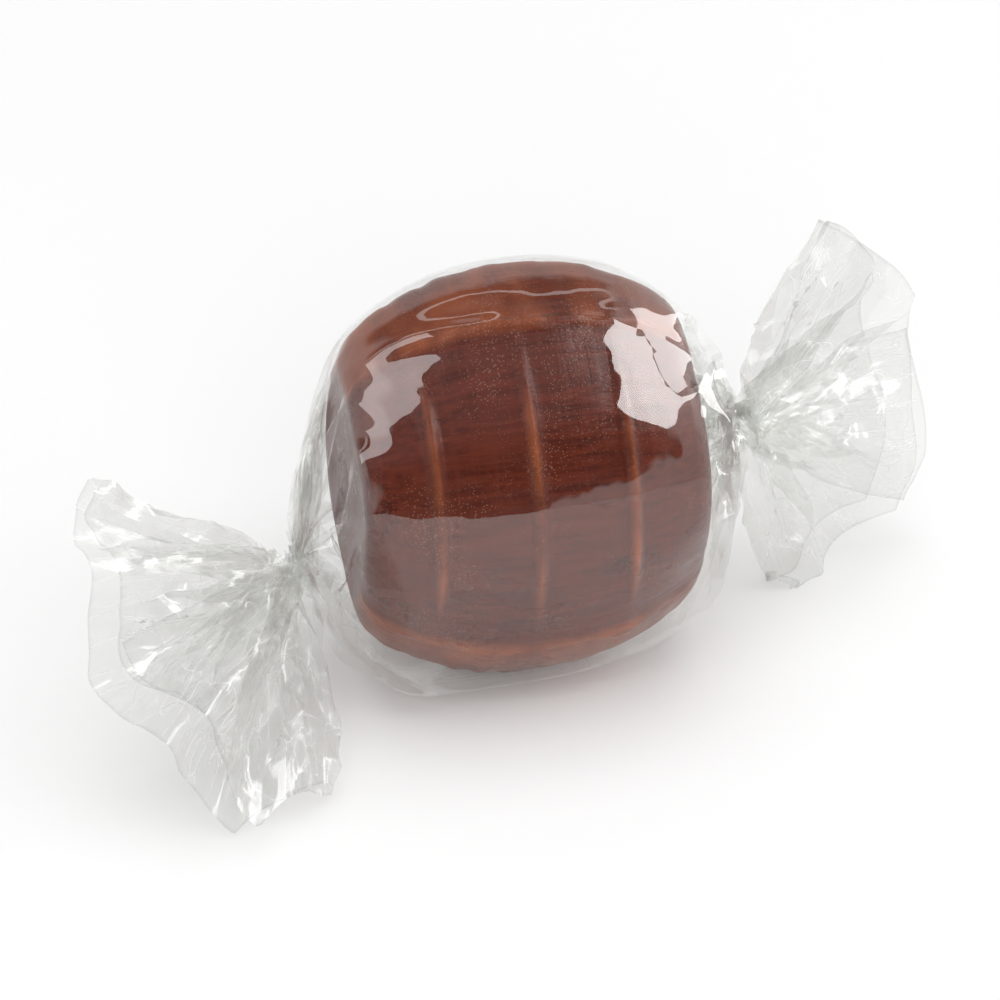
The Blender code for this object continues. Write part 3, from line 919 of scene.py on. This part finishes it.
def clear_film():
    """Clear cellulose film: nearly all light passes, and it mirrors the room more at a glancing angle.

    Where it has been worked, fine creases cloud it and scatter its mirror image. Its cut edges show as lines.
    """
    clear_tint = (0.985, 0.987, 0.982, 1.0)
    worked_tint = (0.918, 0.918, 0.910, 1.0)
    edge_tint = (0.78, 0.79, 0.785, 1.0)
    cloud_colour = (0.94, 0.94, 0.93, 1.0)
    mirror_head_on, mirror_glancing, mirror_worked = 0.085, 0.90, 0.75
    smooth_roughness, worked_roughness = 0.03, 0.17
    worked_cloud, crease_cloud = 0.07, 0.22
    pleat_line, wrinkle_line, facet_height, bump_depth = 0.012, 0.006, 6.0, 0.15
    material = bpy.data.materials.new("clear_film")
    material.use_nodes = True
    tree = material.node_tree
    tree.nodes.remove(tree.nodes["Principled BSDF"])
    worked = stored(tree, "handled")["Fac"]
    laid = stored(tree, "laid")["Vector"]

    pleats = from_half(tree, stretched_noise(tree, laid, (0.07, 0.50, 1.0), 2.0, 0.6))
    wrinkles = from_half(tree, stretched_noise(tree, laid, (0.20, 0.26, 1.0), 1.0, 0.6))
    lines = calculate(tree, "MAXIMUM", remap(tree, pleats, 0.0, pleat_line, 1.0, 0.0),
                      remap(tree, wrinkles, 0.0, wrinkle_line, 1.0, 0.0))
    creases = calculate(tree, "MULTIPLY", lines, remap(tree, worked, 0.15, 0.6))
    cloudy = calculate(tree, "ADD", remap(tree, worked, 0.2, 1.0, 0.0, worked_cloud),
                       calculate(tree, "MULTIPLY", creases, crease_cloud))
    tint = blend_colour(tree, remap(tree, worked, 0.5, 1.0), clear_tint, worked_tint)
    tint = blend_colour(tree, stored(tree, "cut_edge")["Fac"], tint, edge_tint)

    facing = tree.nodes.new("ShaderNodeLayerWeight")
    facing.inputs["Blend"].default_value = 0.5
    glance = calculate(tree, "POWER", facing.outputs["Facing"], 5.0)
    mirror = calculate(tree, "MULTIPLY_ADD", glance, mirror_glancing)
    mirror.node.inputs[2].default_value = mirror_head_on
    mirror = calculate(tree, "MULTIPLY", mirror, remap(tree, worked, 0.1, 0.6, 1.0, mirror_worked))
    shadow = tree.nodes.new("ShaderNodeLightPath").outputs["Is Shadow Ray"]
    mirror = calculate(tree, "MULTIPLY", mirror, calculate(tree, "SUBTRACT", 1.0, shadow))

    through = tree.nodes.new("ShaderNodeBsdfTransparent")
    veil = tree.nodes.new("ShaderNodeBsdfDiffuse")
    veil.inputs["Color"].default_value = cloud_colour
    gloss = tree.nodes.new("ShaderNodeBsdfGlossy")
    gloss.inputs["Color"].default_value = (1.0, 1.0, 1.0, 1.0)
    clouded = tree.nodes.new("ShaderNodeMixShader")
    surface = tree.nodes.new("ShaderNodeMixShader")
    wire(tree, tint, through.inputs["Color"],
         cloudy, clouded.inputs[0], through.outputs[0], clouded.inputs[1], veil.outputs[0], clouded.inputs[2],
         mirror, surface.inputs[0], clouded.outputs[0], surface.inputs[1],
         gloss.outputs[0], surface.inputs[2],
         surface.outputs[0], tree.nodes["Material Output"].inputs["Surface"],
         remap(tree, worked, 0.0, 1.0, smooth_roughness, worked_roughness), gloss.inputs["Roughness"])

    place = tree.nodes.new("ShaderNodeTexCoord").outputs["Object"]
    crinkle = stretched_noise(tree, place, (0.60, 0.60, 0.60), 1.0)
    facets = calculate(tree, "MULTIPLY", calculate(tree, "ADD", pleats, wrinkles),
                       remap(tree, worked, 0.2, 0.9, 0.0, facet_height))
    bump = tree.nodes.new("ShaderNodeBump")
    bump.inputs["Strength"].default_value = 0.25
    bump.inputs["Distance"].default_value = bump_depth * MM
    wire(tree, calculate(tree, "ADD", crinkle, facets), bump.inputs["Height"],
         bump.outputs["Normal"], gloss.inputs["Normal"])
    return material


film = sheet_mesh(lifted(film_sheet(), np.random.default_rng(lift_seed)))
film.data.materials.append(clear_film())
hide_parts("wrapper")
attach(film, "root")


# ------------------------------------------------------------------ table, light and camera
# A plain white table under a large soft light, with one in front and one on the right to fill the shadows.
# The film mirrors other things: two bright windows on the right, a dimmer one on the left, and a room that
# is dark in front and above, but for one bright strip, with pale walls behind and at the sides.

table_half = 1500.0
table_corners = [(-table_half, -table_half, 0.0), (table_half, -table_half, 0.0),
                 (table_half, table_half, 0.0), (-table_half, table_half, 0.0)]
table = mesh_piece("table", np.array(table_corners), [(0, 1, 2, 3)])
paper = bpy.data.materials.new("white_paper")
paper.use_nodes = True
paper_shader = paper.node_tree.nodes["Principled BSDF"]
paper_shader.inputs["Base Color"].default_value = (0.90, 0.90, 0.90, 1.0)
paper_shader.inputs["Roughness"].default_value = 0.8
table.data.materials.append(paper)


def soft_light(name, direction, distance, size, radiance, mirrored):
    """A rectangular light that faces the frame's origin. It shows in mirror images or it lights, not both."""
    data = bpy.data.lights.new(name, "AREA")
    data.shape = "RECTANGLE"
    data.size, data.size_y = size
    data.energy = radiance * math.pi * size[0] * size[1]
    light = bpy.data.objects.new(name, data)
    light.location = Vector(direction).normalized() * distance
    light.rotation_euler = (-light.location).to_track_quat("-Z", "Y").to_euler()
    light.visible_camera = False
    light.visible_glossy = mirrored
    light.visible_diffuse = not mirrored
    bpy.context.scene.collection.objects.link(light)


soft_light("light_overhead", (0.10, 0.00, 1.0), 0.80, (0.9, 0.7), 1.95, False)
soft_light("light_from_front", (-0.15, -0.88, 0.50), 0.80, (0.6, 0.5), 2.5, False)
soft_light("light_from_right", (0.82, -0.20, 0.57), 0.70, (0.4, 0.4), 1.3, False)
soft_light("window_right", (0.651, -0.178, 0.738), 0.70, (0.462, 0.188), 5.8, True)
soft_light("window_right_behind", (0.911, 0.312, 0.270), 0.70, (0.231, 0.585), 5.2, True)
soft_light("window_left", (-0.580, 0.060, 0.812), 0.80, (0.300, 0.480), 2.6, True)

world = bpy.data.worlds.new("studio_room")
world.use_nodes = True
tree = world.node_tree
way = tree.nodes.new("ShaderNodeSeparateXYZ")
wire(tree, tree.nodes.new("ShaderNodeTexCoord").outputs["Generated"], way.inputs["Vector"])
dark_front = (0.02, 0.02, 0.02, 1.0)
grey_ceiling = (0.15, 0.155, 0.17, 1.0)
dark_behind = (0.03, 0.03, 0.03, 1.0)
bright_strip = (1.8, 1.8, 1.8, 1.0)
pale_wall = (0.85, 0.85, 0.85, 1.0)
plain_light = (0.45, 0.45, 0.45, 1.0)
strip_place, strip_half_width = 0.35, 0.035
room = blend_colour(tree, remap(tree, way.outputs["Z"], 0.62, 0.90), dark_front, grey_ceiling)
room = blend_colour(tree, remap(tree, way.outputs["Y"], 0.02, 0.14), room, dark_behind)
from_strip = calculate(tree, "ABSOLUTE", calculate(tree, "SUBTRACT", way.outputs["Y"], strip_place), 0.0)
room = blend_colour(tree, calculate(tree, "LESS_THAN", from_strip, strip_half_width), room, bright_strip)
room = blend_colour(tree, remap(tree, way.outputs["Y"], 0.52, 0.60), room, pale_wall)
low_right = calculate(tree, "SUBTRACT", calculate(tree, "MULTIPLY", way.outputs["X"], 1.2), way.outputs["Z"])
room = blend_colour(tree, remap(tree, low_right, 0.27, 0.31), room, pale_wall)
sideways = calculate(tree, "ABSOLUTE", way.outputs["X"], 0.0)
room = blend_colour(tree, remap(tree, sideways, 0.60, 0.66), room, pale_wall)
mirrored = tree.nodes.new("ShaderNodeLightPath").outputs["Is Glossy Ray"]
seen = blend_colour(tree, mirrored, plain_light, room)
wire(tree, seen, tree.nodes["Background"].inputs["Color"])
bpy.context.scene.world = world

# The camera frames a square of the photograph, in its pixels, from the photograph's own direction.
photo_window = 560.0
window_centre = (697.0, 767.0)
candy_pixel = (707.0, 748.6)
mm_per_pixel = 0.0932
azimuth = math.radians(-13.0)
elevation = math.radians(33.0)
to_camera = Vector((math.sin(azimuth) * math.cos(elevation), -math.cos(azimuth) * math.cos(elevation),
                    math.sin(elevation)))
image_right = Vector((math.cos(azimuth), math.sin(azimuth), 0.0))
image_up = to_camera.cross(image_right)
aim = (Vector(candy_centre)
       + image_right * (window_centre[0] - candy_pixel[0]) * mm_per_pixel
       - image_up * (window_centre[1] - candy_pixel[1]) * mm_per_pixel) * MM
camera_data = bpy.data.cameras.new("camera")
camera_data.sensor_width = 36.0
camera_data.lens = 400.0
camera_distance = photo_window * mm_per_pixel * MM * camera_data.lens / camera_data.sensor_width
camera_data.clip_start = 0.01
camera_data.clip_end = 10.0
camera = bpy.data.objects.new("camera", camera_data)
camera.location = aim + to_camera * camera_distance
camera.rotation_euler = to_camera.to_track_quat("Z", "Y").to_euler()
bpy.context.scene.collection.objects.link(camera)
bpy.context.scene.camera = camera
bpy.context.scene.view_settings.view_transform = "Standard"
bpy.context.scene.cycles.transparent_max_bounces = 24
bpy.context.scene.cycles.max_bounces = 5
bpy.context.scene.cycles.diffuse_bounces = 3
bpy.context.scene.cycles.glossy_bounces = 3
bpy.context.scene.cycles.use_denoising = True
